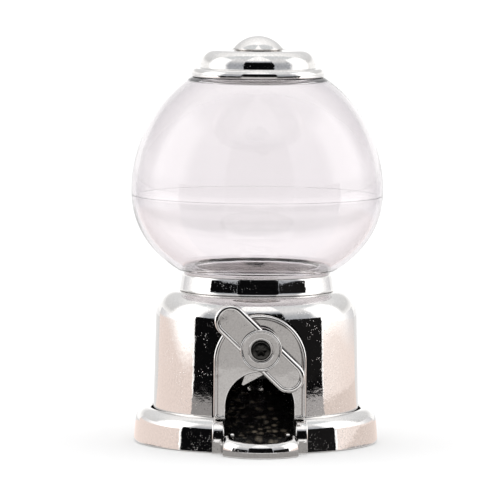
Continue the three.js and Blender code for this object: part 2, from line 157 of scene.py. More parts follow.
def add_loft(bm, rings, closed=False):
    """Skins rings of equal length. An open run of rings gets a cap at each end."""
    rows = [[bm.verts.new(p) for p in ring] for ring in rings]
    pairs = list(zip(rows, rows[1:]))
    if closed:
        pairs.append((rows[-1], rows[0]))
    for low, high in pairs:
        for i in range(len(low)):
            j = (i + 1) % len(low)
            bm.faces.new((low[i], low[j], high[j], high[i]))
    if not closed:
        bm.faces.new(rows[0])
        bm.faces.new(rows[-1])
    return bm


def circle_ring(radius, height, steps, lobes=0, depth=0.0):
    """A level ring about Z, round or with lobes."""
    ring = []
    for i in range(steps):
        a = 2 * math.pi * i / steps
        r = radius + depth * math.cos(lobes * a)
        ring.append((r * math.cos(a), r * math.sin(a), height))
    return ring


def add_turned(bm, profile, steps=ROUND, closed=True):
    """A solid turned about Z, from a closed profile, or an open one that ends on the axis."""
    return add_loft(bm, [circle_ring(max(r, 1e-5), z, steps) for r, z in profile], closed)


def turned(name, profile, steps=ROUND, closed=True):
    return mesh_object(name, add_turned(bmesh.new(), profile, steps, closed))


def face_forward(bm):
    """Turns geometry made about Z so that its +Z points to the front, about the knob's axle."""
    quarter_turn = Matrix.Rotation(math.radians(90), 3, "X")
    bmesh.ops.rotate(bm, verts=bm.verts, cent=(0, 0, 0), matrix=quarter_turn)
    bmesh.ops.translate(bm, verts=bm.verts, vec=(0, 0, AXLE))
    return bm


def forward_ring(outline, front):
    """An (x, z) outline stood up at one distance ahead of the machine's axis."""
    return [(x, -front, z) for x, z in outline]


def cut_with(piece, cutter):
    """Cuts the cutter's shape out of the piece, and removes the cutter."""
    modifier = piece.modifiers.new("cut", "BOOLEAN")
    modifier.operation = "DIFFERENCE"
    modifier.solver = "EXACT"
    modifier.object = cutter
    bpy.context.view_layer.update()
    cut_mesh = bpy.data.meshes.new_from_object(piece.evaluated_get(bpy.context.evaluated_depsgraph_get()))
    piece.modifiers.clear()
    piece.data = smoothed(cut_mesh)
    bpy.data.objects.remove(cutter)


def cut_hole(piece, profile, steps, plan):
    """Cuts an upright turned hole, its profile ending on the axis, at a place on the plan."""
    bm = add_turned(bmesh.new(), profile, steps, closed=False)
    bmesh.ops.translate(bm, verts=bm.verts, vec=(*plan, 0))
    cut_with(piece, mesh_object("hole_cutter", bm))


def joined(name, *parts):
    """One object from several that touch and share a material."""
    bm = bmesh.new()
    for part in parts:
        bm.from_mesh(part.data)
        bpy.data.objects.remove(part)
    return add_object(name, mesh_from(name, bm))


# ---- lid ----------------------------------------------------------------------------------

def make_lid_cap():
    flange, bead_reach = LID.radius, 1.1
    bottom = LID.z0 + 1.15  # the plug reaches this far below the flange
    top = bottom + 2.55
    bead = (top - bottom) / 2
    cap_foot, cap_round = flange - 1.95, 3.55
    plug_out, plug_in = flange - 2.7, flange - 3.7
    channel = flange - 0.9  # outer wall of the groove under the flange
    ceiling, slant = LID.z1 - 1.2, 2.4
    dome_seat, seat_floor, screw_hole = DOME.radius + 0.35, LID.z1 - 0.16, 1.2
    shoulder = arc((cap_foot - 0.15 - cap_round, LID.z1 - cap_round), (cap_round, cap_round), 2, 90, 22)
    bead_arc = arc((flange - bead_reach, bottom + bead), (bead_reach, bead), -90, 78, 22)
    profile = [
        (plug_out, bottom + 1.9), (channel, bottom + 1.9), (channel, bottom + 0.25),
        *bead_arc,
        (cap_foot + 0.25, top), (cap_foot, top + 0.18),
        *shoulder,
        (dome_seat + 0.25, LID.z1), (dome_seat, LID.z1 - 0.14), (dome_seat - 0.3, seat_floor),
        (screw_hole, seat_floor), (screw_hole, ceiling),
        (plug_in - slant, ceiling), (plug_in, ceiling - slant), (plug_in, LID.z0), (plug_out, LID.z0),
    ]
    return turned("lid_cap_fine", profile)


def make_lid_knob():
    rim, tuck, ease = 0.3, 0.15, 0.3
    height = DOME.z1 - DOME.z0 - rim
    ball = (DOME.radius ** 2 + height ** 2) / (2 * height)
    edge = math.degrees(math.asin((ball - height) / ball))
    foot = DOME.z0 - tuck
    base = [(0, foot), (DOME.radius - ease, foot), (DOME.radius - 0.04, DOME.z0 + 0.08)]
    dome = arc((0, DOME.z1 - ball), (ball, ball), edge, 90, 36)
    return turned("lid_knob_fine", base + dome, FINE * 2, closed=False)


# ---- globe --------------------------------------------------------------------------------

GLOBE_WALL = 1.2
EQUATOR = 58.7
SEAM = UPPER.z0 - 0.15
JOINT = 0.012  # half the film of cement between the halves
GLOBE_STEPS = 48


def swell(radii, start, end, fullness=2.0):
    """An arc about the equator that is a plain ellipse at fullness 2 and rounder above it."""
    power = 2 / fullness
    points = []
    for x, y in arc((0, 0), (1, 1), start, end, GLOBE_STEPS):
        points.append((radii[0] * abs(x) ** power, EQUATOR + radii[1] * math.copysign(abs(y) ** power, y)))
    return points


def height_angle(height, reach, fullness=2.0):
    """The angle at which a swell with this reach gets to a height above or below the equator."""
    return math.degrees(math.asin(min(1.0, (abs(height - EQUATOR) / reach) ** (fullness / 2))))


def cement_faces(half, seam):
    """Marks the flat end of a globe half, so that it takes the second, cemented material."""
    for face in half.data.polygons:
        if abs(face.normal.z) > 0.9 and abs(face.center.z - seam * MM) < 0.002 * MM:
            face.material_index = 1


def make_globe_upper():
    rise, out = 31.4, UPPER.radius
    top, throat = UPPER.z1, 85.35
    neck_out, neck_in, ease = 14.4, 13.2, 0.25
    seam = SEAM + JOINT
    inner_rise = rise - GLOBE_WALL
    outer = swell((out, rise), 0, height_angle(throat, rise))
    inner = swell((out - GLOBE_WALL, inner_rise), height_angle(throat - 1.3, inner_rise), 0)
    neck = [(neck_out + 0.75, 85.2), (neck_out + 0.3, 84.85), (neck_out + 0.05, 84.95), (neck_out, 85.3),
            (neck_out, top - ease), (neck_out - ease, top), (neck_in + ease, top), (neck_in, top - ease),
            (neck_in, 84.9), (neck_in + 0.35, 84.35)]
    edge = [(out - 0.045, seam), (out - 0.025, seam + 0.015)]
    made = turned("globe_upper_fine", edge + outer + neck + inner + [(out - GLOBE_WALL - 0.03, seam)])
    cement_faces(made, seam)
    return made


def make_globe_lower():
    drop, out, bottom, fullness = 23.2, UPPER.radius, 40.2, 2.07
    neck_out, neck_in, ease = 15.7, 14.4, 0.25
    seam = SEAM - JOINT
    inner_drop = drop - GLOBE_WALL
    start = height_angle(seam - 0.015, drop, fullness)
    end = height_angle(bottom, drop, fullness)
    inner_start = height_angle(bottom + GLOBE_WALL, inner_drop, fullness)
    inner_end = height_angle(seam, inner_drop, fullness)
    outer = swell((out, drop), -start, -end, fullness)
    inner = swell((out - GLOBE_WALL, inner_drop), -inner_start, -inner_end, fullness)
    neck = [(neck_out + 0.5, bottom - 0.1), (neck_out + 0.1, bottom - 0.35), (neck_out, bottom - 0.8),
            (neck_out, LOWER.z0 + ease), (neck_out - ease, LOWER.z0), (neck_in + ease, LOWER.z0),
            (neck_in, LOWER.z0 + ease), (neck_in, bottom + 0.4), (neck_in + 0.3, bottom + 0.9)]
    made = turned("globe_lower_fine", [(out - 0.07, seam)] + outer + neck + inner)
    cement_faces(made, seam)
    return made


# ---- body ---------------------------------------------------------------------------------

PANEL_ARCH = PANEL.z1 - PANEL.radius
PANEL_FACE = PANEL.front - 0.5
PANEL_PLATE_BACK = PANEL_FACE - 1.6
MOUTH_HALF, MOUTH_ARCH = 7.9, 10.7
CHEEK_OUT, CHEEK_IN, CHEEK_TOP = 11.0, 8.2, 7.4
CHEEK_BACK, CHEEK_FRONT = 24.7, 28.3
UNDER_SCREWS = ("base_screw_1", "base_screw_2", "base_screw_3", "chute_screw_1", "chute_screw_2")


def make_collar():
    foot, top, bore, height = COLLAR.radius, COLLAR.radius - 0.45, 16.0, COLLAR.z1
    rounding = 1.15
    crown = arc((top - rounding, height - rounding), (rounding, rounding), 6, 90, 16)
    flare = arc((foot + 0.2, COLLAR.z0 + 0.75), (0.28, 0.85), 250, 184, 10)
    profile = [(foot + 0.05, COLLAR.z0 - 0.22), *flare, *crown,
               (bore + 0.35, height), (bore, height - 0.3), (bore, COLLAR.z0 - 0.25)]
    return turned("collar_ring_fine", profile)


def arch_outline(half, arch_height, bottom, corner, arch_steps=56, corner_steps=6):
    """An upright outline with a round top and eased lower corners, as (x, z), anticlockwise."""
    right = arc((half - corner, bottom + corner), (corner, corner), -90, 0, corner_steps)
    top = arc((0, arch_height), (half, half), 0, 180, arch_steps)
    left = arc((-half + corner, bottom + corner), (corner, corner), 180, 270, corner_steps)
    return right + top + left


def doorway_cutter():
    gap, below, corner = 0.25, 2, 0.2
    back, front = 9.0, 27.0
    outline = arch_outline(PANEL.radius + gap, PANEL_ARCH, BODY.z0 - below, corner)
    rings = [forward_ring(outline, back), forward_ring(outline, front)]
    return mesh_object("doorway_cutter", add_loft(bmesh.new(), rings))


def make_body_shell():
    foot, wall_top, wall, roof = BODY.radius, 23.5, 1.5, 0.8
    shoulder_foot, shoulder_in, shoulder_top, opening = 29.5, 18.3, BODY.z1, 14.0
    centre = (shoulder_in, shoulder_foot)
    outer = arc(centre, (wall_top - shoulder_in, shoulder_top - shoulder_foot), 0, 90, 28)
    inner = arc(centre, (wall_top - shoulder_in - wall, shoulder_top - roof - shoulder_foot), 90, 0, 12)
    profile = [(foot, BODY.z0), *outer, (opening, shoulder_top), (opening, shoulder_top - roof), *inner,
               (foot - wall, BODY.z0)]
    shell = turned("body_shell_fine", profile, 256)
    cut_with(shell, doorway_cutter())
    return shell


def add_flange(bm):
    """The foot's flange, all the way round but for the gap that the cheeks and the tray fill."""
    foot, top, rounding, height = FOOT.radius, FOOT.radius - 0.4, 3.2, FOOT.z1
    bore, ease, wall, steps = 24.6, 0.25, 1.4, 224
    crown = arc((top - rounding, height - rounding), (rounding, rounding), 2, 90, 22)
    profile = [(foot - ease, 0), (foot, ease), *crown, (bore + ease, height), (bore, height - ease),
               (bore, 0), (bore + wall, 0), (bore + wall, height - 2.0), (foot - 2.0, height - 3.2),
               (foot - wall, 0)]
    half_gap = math.degrees(math.asin((CHEEK_OUT - 0.2) / top))
    slices = []
    for i in range(steps + 1):
        a = math.radians(-90 + half_gap + (360 - 2 * half_gap) * i / steps)
        slices.append([(r * math.cos(a), r * math.sin(a), z) for r, z in profile])
    add_loft(bm, slices)


def add_cheek(bm, side):
    """One of the two blocks that frame the tray, with eased sides and a rounded top at the front."""
    ahead, rise, edge = CHEEK_FRONT - PANEL_FACE, 4.2, 0.4
    turns = (math.pi / 8, math.pi / 4, 3 * math.pi / 8)
    easing = [(edge, 0), *((edge * (1 - math.sin(a)), edge * (1 - math.cos(a))) for a in turns), (0, edge)]
    rings = [(inset, CHEEK_IN + across) for inset, across in easing]
    rings += [(inset, CHEEK_OUT - (x - CHEEK_IN)) for inset, x in reversed(rings)]
    outlines = []
    for inset, x in rings:
        back, front, top = CHEEK_BACK + inset, CHEEK_FRONT - inset, CHEEK_TOP - inset
        curve = arc((front - ahead + inset, top - rise + inset), (ahead - inset, rise - inset), 0, 90, 18)
        outlines.append([(side * x, -f, z) for f, z in [(back, inset), (front, inset), *curve, (back, top)]])
    add_loft(bm, outlines)


def make_foot_ring():
    bm = bmesh.new()
    add_flange(bm)
    for side in (-1, 1):
        add_cheek(bm, side)
    return mesh_object("foot_ring_fine", bm)


def make_base_plate():
    edge, head, neck = 0.2, 2.55, 1.3
    profile = eased([(0, 0, 0), (BASE.radius, 0, edge), (BASE.radius, BASE.z1, edge), (0, BASE.z1, 0)])
    plate = turned("base_plate_fine", profile, ROUND, closed=False)
    hole = [(0, -1), (head, -1), (head, 0.3), (neck, 1.4), (neck, 3), (0, 3)]
    for name in UNDER_SCREWS:
        cut_hole(plate, hole, FINE // 2, Extent(name).plan)
    return plate


def make_hopper_funnel():
    dish, rim, rim_foot, centre, ease = 13.7, 15.6, 35.75, 35.9, 0.2
    hole, hole_back = 6, -7
    profile = eased([(0, FUNNEL.z0, 0), (dish, FUNNEL.z0 + 0.4, ease), (dish, rim_foot, 0),
                     (rim, rim_foot, ease), (rim, FUNNEL.z1, 0.3), (0, centre, 0)])
    funnel = turned("hopper_funnel_fine", profile, ROUND, closed=False)
    cut_hole(funnel, [(0, 30), (hole, 30), (hole, 40), (0, 40)], FINE, (0, hole_back))
    return funnel


# ---- front --------------------------------------------------------------------------------

TRAY_SHOULDER = 28.65  # how far ahead the tray widens past the cheeks


def panel_ring(outer_inset, mouth_inset, outer_front, mouth_front):
    """The panel's outline, which runs round the arch and back round the mouth, at two depths."""
    corner = 1.2
    half, bottom = PANEL.radius - outer_inset, PANEL.z0 + outer_inset
    outer = arch_outline(half, PANEL_ARCH, bottom, max(corner - outer_inset, 0.15), 80, 8)
    mouth_half = MOUTH_HALF + mouth_inset
    arch = arc((0, MOUTH_ARCH), (mouth_half, mouth_half), 180, 0, 64)
    mouth = [(-mouth_half, bottom), *arch, (mouth_half, bottom)]
    return forward_ring(outer, outer_front) + forward_ring(mouth, mouth_front)


def make_front_panel():
    skirt, bead, lip, step, steps = 1.3, 0.52, 0.28, 0.15, 14
    rings = [
        panel_ring(skirt, 0, PANEL_PLATE_BACK, PANEL_PLATE_BACK),
        panel_ring(skirt, 0, PANEL.back, PANEL_PLATE_BACK),
        panel_ring(0, 0, PANEL.back, PANEL_PLATE_BACK),
    ]
    for i in range(steps + 1):
        a = math.pi * i / steps
        b = min(a, math.pi / 2)
        bead_front = PANEL_FACE - 0.02 + bead * math.sin(a)
        lip_front = PANEL_FACE - lip - step + lip * math.sin(b)
        rings.append(panel_ring(bead - bead * math.cos(a), lip - lip * math.cos(b), bead_front, lip_front))
    face = PANEL_FACE - step
    rings.append(panel_ring(2 * bead + 0.04, lip + 0.02, face, face))
    return mesh_object("front_panel_fine", add_loft(bmesh.new(), rings), crease=25)


def tray_outline(inset):
    """The scoop's plan with straight sides and a curved front, anticlockwise from the back right."""
    half, corner_front, front, back = TRAY.radius, 33.2, TRAY.front, TRAY.back
    sag = front - corner_front
    outer = (half * half + sag * sag) / (2 * sag)
    centre = front - outer
    side, neck = half - inset, MOUTH_HALF - inset
    fillet = max(1.3 - inset, 0.25)
    reach = outer - inset - fillet
    turn = math.asin((side - fillet) / reach)
    corner = (side - fillet, centre + reach * math.cos(turn))
    angle = math.degrees(turn)
    left_corner = arc((-corner[0], corner[1]), (fillet, fillet), 180, 90 + angle, 8)
    front_arc = arc((0, centre), (outer - inset, outer - inset), 90 + angle, 90 - angle, 40)
    right_corner = arc(corner, (fillet, fillet), 90 - angle, 0, 8)
    return [(-neck, back), (-neck, TRAY_SHOULDER), (-side, TRAY_SHOULDER),
            *left_corner, *front_arc[1:-1], *right_corner,
            (side, TRAY_SHOULDER), (neck, TRAY_SHOULDER), (neck, back)]


def tray_rim(front):
    """The height of the scoop's rim, which falls towards the front."""
    lip, rear = 3.5, TRAY.z1
    along = max(0.0, min(1.0, (front - TRAY_SHOULDER) / (TRAY.front - TRAY_SHOULDER)))
    return rear + (lip - rear) * along ** 0.8


def make_candy_tray():
    floor, foot, edge, bulge, wall, steps = 1.4, 1.3, 0.3, 1.5, 1.9, 12

    def ring(inset, height_of):
        plan, outer = tray_outline(inset), tray_outline(0)
        last = len(plan) - 1
        ring_points = []
        for i, (x, f) in enumerate(plan):
            height = height_of(outer[i][1])
            if i in (0, last):
                height = min(height, floor)
            ring_points.append((x, -f, height))
        return ring_points

    rings = [ring(edge, lambda f: 0.0), ring(edge * 0.3, lambda f: edge * 0.3), ring(0, lambda f: edge)]
    for a in quarter(steps):
        bulged = bulge * (1 - math.cos(a))
        rings.append(ring(bulged, lambda f, s=math.sin(a): foot + (tray_rim(f) - foot) * s))
    rings.append(ring(wall - 0.12, lambda f: tray_rim(f) - 0.05))
    rings.append(ring(wall, lambda f: tray_rim(f) - 0.22))
    rings.append(ring(wall, lambda f: floor + 0.4))
    rings.append(ring(wall + 0.12, lambda f: floor + 0.12))
    rings.append(ring(wall + 0.4, lambda f: floor))
    return mesh_object("candy_tray_fine", add_loft(bmesh.new(), rings))


# ---- knob and wheel -----------------------------------------------------------------------

KNOB_HUB = 4.8
WING_REACH, WING_SHORT, WING_LOBE, WING_TILT = 9.7, 8.9, 3.7, 136.0


def wing_ring(inset, front):
    """The stadium outline of both wings at one depth ahead of the axis."""
    radius = WING_LOBE - inset
    outline = arc((WING_REACH, 0), (radius, radius), -90, 90, 28)
    outline += arc((-WING_SHORT, 0), (radius, radius), 90, 270, 28)
    turn = math.radians(WING_TILT)
    across, up = math.cos(turn), math.sin(turn)
    return [(x * across - z * up, -front, AXLE + x * up + z * across) for x, z in outline]


def make_wings():
    """Both wings as one bevelled bar with a dished face, open where the hub passes through."""
    back, front, steps = 28.0, 31.0, 8
    bevel, rim, dish, fall, bore = 0.7, 0.15, 0.6, 0.42, 3.2
    rings = [wing_ring(0.3, back), wing_ring(0.09, back + 0.09), wing_ring(0, back + 0.3)]
    for a in quarter(steps, 1):
        rings.append(wing_ring(bevel * (1 - math.cos(a)), front - bevel + bevel * math.sin(a)))
    for a in quarter(steps):
        rings.append(wing_ring(bevel + rim + fall * math.sin(a), front - dish + dish * math.cos(a)))
    wings = mesh_object("wings", add_loft(bmesh.new(), rings))
    cutter = add_turned(bmesh.new(), [(0, 20), (bore, 20), (bore, 40), (0, 40)], FINE, closed=False)
    cut_with(wings, mesh_object("bore_cutter", face_forward(cutter)))
    return wings


def make_hub():
    """The hub's rolled rim, its flat ring with a fine groove, and the counterbore for the screw."""
    hub, nose, rim = KNOB_HUB, KNOB.front, 0.3
    face, groove, seat, bore, counterbore = nose - 0.36, 0.05, 29.9, 2.3, 2.6
    rim_arc = arc((hub - rim, nose - rim), (rim, rim), 0, 172, 14)
    lip_arc = arc((2.76, face - 0.12), (0.16, 0.12), 90, 180, 6)
    profile = [(bore, KNOB.back), (hub - rim, KNOB.back), (hub, KNOB.back + rim), *rim_arc,
               (hub - 0.62, face + 0.02), (hub - 0.66, face), (hub - 0.74, face), (3.1, face), (3.02, face),
               (2.96, face - groove), (2.88, face - groove), (2.82, face), *lip_arc,
               (counterbore, nose - 0.9), (counterbore, seat), (bore, seat)]
    return mesh_object("hub", face_forward(add_turned(bmesh.new(), profile)), crease=28)


def make_wing_knob():
    return joined("wing_knob_fine", make_wings(), make_hub())


def make_knob_screw():
    top, shank, head = SCREW.front, 1.0, 2.3
    head_seat, land, crown, crown_turn = top - 1.2, 0.55, 0.65, 70
    socket, lobes, lobe_depth, steps = 1.15, 6, 0.15, 8
    rings = [circle_ring(1e-5, SCREW.back, FINE), circle_ring(shank, SCREW.back, FINE),
             circle_ring(shank, head_seat, FINE), circle_ring(head, head_seat, FINE),
             circle_ring(head, head_seat + land, FINE)]
    for i in range(1, steps + 1):
        a = math.radians(crown_turn * i / steps)
        height = head_seat + land + crown * math.sin(a) / math.sin(math.radians(crown_turn))
        rings.append(circle_ring(socket + 0.35 + (head - socket - 0.35) * math.cos(a), height, FINE))
    for radius, depth in ((socket + 0.06, 0), (socket, 0.08), (socket - 0.05, 1.0)):
        rings.append(circle_ring(radius, top - depth, FINE, lobes, lobe_depth))
    rings.append(circle_ring(1e-5, top - 1.15, FINE))
    return mesh_object("knob_screw_fine", face_forward(add_loft(bmesh.new(), rings)), crease=30)


def wheel_ring(inset, front):
    """The wheel's outline at one depth. Each vane has a steep face, a narrow tip and a long web."""
    hub, radius, vanes, first = 3.4, 10.1, 4, 248
    vane = ((hub, -11, 0.6), (radius, -1.3, 0.12), (radius, 1.1, 0.12), (8.1, 15, 0.4), (6.8, 37, 1.2))
    corners = []
    for i in range(vanes):
        tip = first + 360 / vanes * i
        for r, turn, ease in vane:
            a = math.radians(tip + turn)
            corners.append(((r - inset) * math.cos(a), (r - inset) * math.sin(a), ease))
    return [(x, -front, AXLE + z) for x, z in eased(corners, 4)]


def make_dispensing_wheel():
    back, front, edge = WHEEL.back, WHEEL.front, 0.12
    rings = [wheel_ring(edge, back), wheel_ring(0, back + edge), wheel_ring(0, front - edge),
             wheel_ring(edge, front)]
    return mesh_object("dispensing_wheel_fine", add_loft(bmesh.new(), rings), crease=30)


# ---- materials ----------------------------------------------------------------------------

def grey(level):
    return level, level, level


class Nodes:
    """A node tree and short ways to add and join its nodes. A value is a socket or a constant."""

    def __init__(self, tree):
        self.nodes, self.links = tree.nodes, tree.links

    def join(self, value, socket):
        if isinstance(value, bpy.types.NodeSocket):
            self.links.new(value, socket)
        elif isinstance(value, tuple):
            socket.default_value = (*value, 1)
        else:
            socket.default_value = value

    def math(self, operation, *values):
        node = self.nodes.new("ShaderNodeMath")
        node.operation = operation
        for value, socket in zip(values, node.inputs):
            self.join(value, socket)
        return node.outputs[0]

    def spread(self, value, low, high, out_low=0.0, out_high=1.0, interpolation="LINEAR"):
        """Maps low..high to out_low..out_high, and holds the ends."""
        node = self.nodes.new("ShaderNodeMapRange")
        node.interpolation_type = interpolation
        node.inputs["From Min"].default_value = low
        node.inputs["From Max"].default_value = high
        node.inputs["To Min"].default_value = out_low
        node.inputs["To Max"].default_value = out_high
        self.links.new(value, node.inputs["Value"])
        return node.outputs["Result"]

    def blend(self, factor, first, second):
        node = self.nodes.new("ShaderNodeMix")
        node.data_type = "RGBA"
        for value, socket in ((factor, 0), (first, 6), (second, 7)):
            self.join(value, node.inputs[socket])
        return node.outputs[2]

    def ramp(self, value, stops):
        """A colour ramp through (position, colour) stops."""
        node = self.nodes.new("ShaderNodeValToRGB")
        elements = node.color_ramp.elements
        (start, first), *inner, (end, last) = stops
        elements[0].position, elements[0].color = start, (*first, 1)
        elements[1].position, elements[1].color = end, (*last, 1)
        for position, colour in inner:
            elements.new(position).color = (*colour, 1)
        self.links.new(value, node.inputs["Fac"])
        return node.outputs["Color"]


class Shader(Nodes):
    """A node material, its patterns and its principled surface."""

    def __init__(self, name):
        self.material = bpy.data.materials.new(name)
        self.material.use_nodes = True
        super().__init__(self.material.node_tree)
        self.surface = self.nodes["Principled BSDF"]
        self.place = self.nodes.new("ShaderNodeTexCoord").outputs["Object"]

    def set(self, **values):
        for key, value in values.items():
            self.surface.inputs[key.replace("_", " ")].default_value = value

    def feed(self, **sockets):
        for key, output in sockets.items():
            self.links.new(output, self.surface.inputs[key.replace("_", " ")])

    def noise(self, scale, detail=3.0, roughness=0.55):
        node = self.nodes.new("ShaderNodeTexNoise")
        node.inputs["Scale"].default_value = scale
        node.inputs["Detail"].default_value = detail
        node.inputs["Roughness"].default_value = roughness
        self.links.new(self.place, node.inputs["Vector"])
        return node.outputs["Fac"]

    def spots(self, scale, size):
        """1 at the middle of round spots, falling to 0 at their edges and between them."""
        node = self.nodes.new("ShaderNodeTexVoronoi")
        node.inputs["Scale"].default_value = scale
        self.links.new(self.place, node.inputs["Vector"])
        return self.spread(node.outputs["Distance"], size, 0.0)

    def bump(self, height, strength, distance, under=None):
        node = self.nodes.new("ShaderNodeBump")
        node.inputs["Strength"].default_value = strength
        node.inputs["Distance"].default_value = distance
        self.links.new(height, node.inputs["Height"])
        if under is not None:
            self.links.new(under, node.inputs["Normal"])
        return node.outputs["Normal"]


PLATING = (0.71, 0.695, 0.682), (0.60, 0.585, 0.575)


def plated(name, ripple, grain, dust, rough=(0.018, 0.06), metal=1.0, painted_brightening=1.0):
    """Bright vacuum plating over moulded plastic: faint waviness, dust specks under the film. The last
    factor lifts the plating's tone above its own, which is painted light.
    """
    s = Shader(name)
    s.set(Metallic=metal)
    fleck = s.spread(s.noise(2200, 3, 0.7), 0.38, 0.68)
    tone = s.math("MULTIPLY", s.spread(s.noise(55), 0.35, 0.65, 0.5), fleck)
    s.feed(Base_Color=s.blend(tone, *(tuple(v * painted_brightening for v in tint) for tint in PLATING)))
    s.feed(Roughness=s.spread(s.noise(420, 4), 0.35, 0.75, *rough))
    waves = s.bump(s.noise(120, 2), ripple, 0.0003)
    orange_peel = s.bump(s.noise(850), grain, 0.000016, waves)
    specks = s.math("MULTIPLY", s.spots(2100, 0.24), s.spread(s.noise(230, 2), 0.46, 0.58))
    s.feed(Normal=s.bump(specks, dust, 0.000035, orange_peel))
    return s.material


def clear_plastic(name):
    """Polished clear moulded plastic with a faint flow pattern, deeper in tone where it is seen edge on."""
    s = Shader(name)
    s.set(IOR=1.49, Transmission_Weight=1.0)
    grazing = s.nodes.new("ShaderNodeLayerWeight")
    grazing.inputs["Blend"].default_value = 0.5
    edge = s.spread(grazing.outputs["Facing"], 0.42, 0.80)
    s.feed(Base_Color=s.blend(edge, (0.93, 0.913, 0.922), (0.64, 0.612, 0.635)))
    s.feed(Roughness=s.spread(s.noise(90, 2), 0.3, 0.8, 0.0, 0.012))
    s.feed(Normal=s.bump(s.noise(60, 2), 0.10, 0.0005))
    return s.material


def cemented_plastic(name):
    """Solvent-welded plastic: light passes the joint almost unbent."""
    s = Shader(name)
    s.set(IOR=1.0, Transmission_Weight=1.0, Roughness=0.0)
    s.feed(Base_Color=s.blend(s.noise(700), (0.97, 0.96, 0.965), (0.90, 0.89, 0.895)))
    return s.material


def black_plastic(name, rough, scuff=0.45):
    """Glossy black moulded plastic with pale dust and fine scuffs."""
    s = Shader(name)
    s.set(Specular_IOR_Level=0.5)
    dust = s.math("MULTIPLY", s.spots(560, 0.5), s.spread(s.noise(170), 0.46, 0.6))
    s.feed(Base_Color=s.blend(dust, (0.007, 0.0066, 0.0064), (0.34, 0.29, 0.22)))
    s.feed(Roughness=s.spread(s.noise(500, 4), 0.35, 0.7, rough * 0.6, rough * 1.9))
    s.feed(Normal=s.bump(s.noise(330, 5, 0.7), scuff, 0.0006))
    return s.material


def steel(name, tint):
    """Zinc-plated steel, slightly brushed and worn."""
    s = Shader(name)
    s.set(Metallic=1.0)
    darker = tuple(v * 0.6 for v in tint)
    s.feed(Base_Color=s.blend(s.spread(s.noise(900, 4), 0.35, 0.7), tint, darker))
    s.feed(Roughness=s.spread(s.noise(1500), 0.3, 0.7, 0.16, 0.34))
    s.feed(Normal=s.bump(s.noise(2400, 2), 0.15, 0.00004))
    return s.material


# ---- pieces -------------------------------------------------------------------------------

PLATED = plated("plated_shell", ripple=0.10, grain=0.55, dust=0.8)
PLATED_FRONT = plated("plated_front", ripple=0.16, grain=0.2, dust=0.12)
# The funnel's plating is a lighter copy, less metallic and lifted in tone: painted light for the light its
# place in the neck doesn't get.
PLATED_SATIN = plated("plated_satin", ripple=0.9, grain=0.6, dust=0.3,
                      rough=(0.16, 0.3), metal=0.3, painted_brightening=1.36)
CLEAR = clear_plastic("clear_globe")
CEMENTED = cemented_plastic("cemented_joint")
BLACK = black_plastic("black_moulding", rough=0.2, scuff=1.0)
BLACK_BASE = black_plastic("black_base", rough=0.3)
STEEL = steel("zinc_steel", (0.36, 0.355, 0.35))
DARK_STEEL = steel("dark_steel", (0.055, 0.053, 0.05))


def dress(piece, *materials):
    piece.data.materials.clear()
    for material in materials:
        piece.data.materials.append(material)


def place(made, materials, body, node):
    dress(made, *materials)
    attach(made, body)
    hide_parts(node)


place(make_lid_cap(), [PLATED], "lid", "lid_cap")
place(make_lid_knob(), [PLATED], "lid", "lid_knob")
place(make_globe_upper(), [CLEAR, CEMENTED], "machine", "globe_upper")
place(make_globe_lower(), [CLEAR, CEMENTED], "machine", "globe_lower")
place(make_collar(), [PLATED], "machine", "collar_ring")
place(make_body_shell(), [PLATED], "machine", "body_shell")
place(make_foot_ring(), [PLATED], "machine", "foot_ring")
place(make_base_plate(), [BLACK_BASE], "machine", "base_plate")
place(make_hopper_funnel(), [PLATED_SATIN], "machine", "hopper_funnel")
place(make_front_panel(), [PLATED_FRONT], "machine", "front_panel")
place(make_candy_tray(), [PLATED], "machine", "candy_tray")
place(make_wing_knob(), [PLATED_FRONT], "knob_drive", "wing_knob")
place(make_knob_screw(), [DARK_STEEL], "knob_drive", "knob_screw")
place(make_dispensing_wheel(), [PLATED], "knob_drive", "dispensing_wheel")

for name in (*UNDER_SCREWS, "lid_knob_screw", "drive_spindle"):
    dress(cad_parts[name], STEEL)
for name in ("chute", "wheel_housing"):
    dress(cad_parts[name], BLACK)


# ---- studio -------------------------------------------------------------------------------

AHEAD = 31  # degrees from the front at which the dark front of the studio ends
FLANK_LEFT, FLANK_RIGHT = -73.5, 75.0  # where the flags end and the warm cards begin
SIDE = 142  # where the warm cards end
SIDE_BOX = 114  # where the sky's bright sides end
DARK, BLUE = (0.004, 0.004, 0.0045), (0.50, 0.52, 0.56)
WHITE, BRIGHT, SOFT, OVERHEAD = grey(1.5), grey(2.3), (1.02, 1.02, 1.03), (0.92, 0.95, 0.97)
WARM_LEFT, WARM_RIGHT, WARM_TABLE = (1.12, 0.96, 0.89), (1.36, 1.22, 1.15), (1.0, 0.86, 0.79)
TABLE_AHEAD, TABLE_BEHIND = (0.70, 0.685, 0.675), (0.93, 0.925, 0.92)

TABLE_TONE = grey(0.93)
# Painted shade on the table, which only rays through the globe see: (metres from the object's axis,
# brightness).
PAINTED_SHADE_THROUGH_GLOBE = (
    (0.0, 0.93), (0.387, 0.95), (0.417, 0.90), (0.448, 0.845), (0.478, 0.75), (0.53, 0.74), (0.56, 0.79),
    (0.60, 0.80), (0.63, 0.77), (0.655, 0.76), (0.69, 0.88), (0.71, 0.93), (0.76, 0.85), (0.85, 0.83),
)


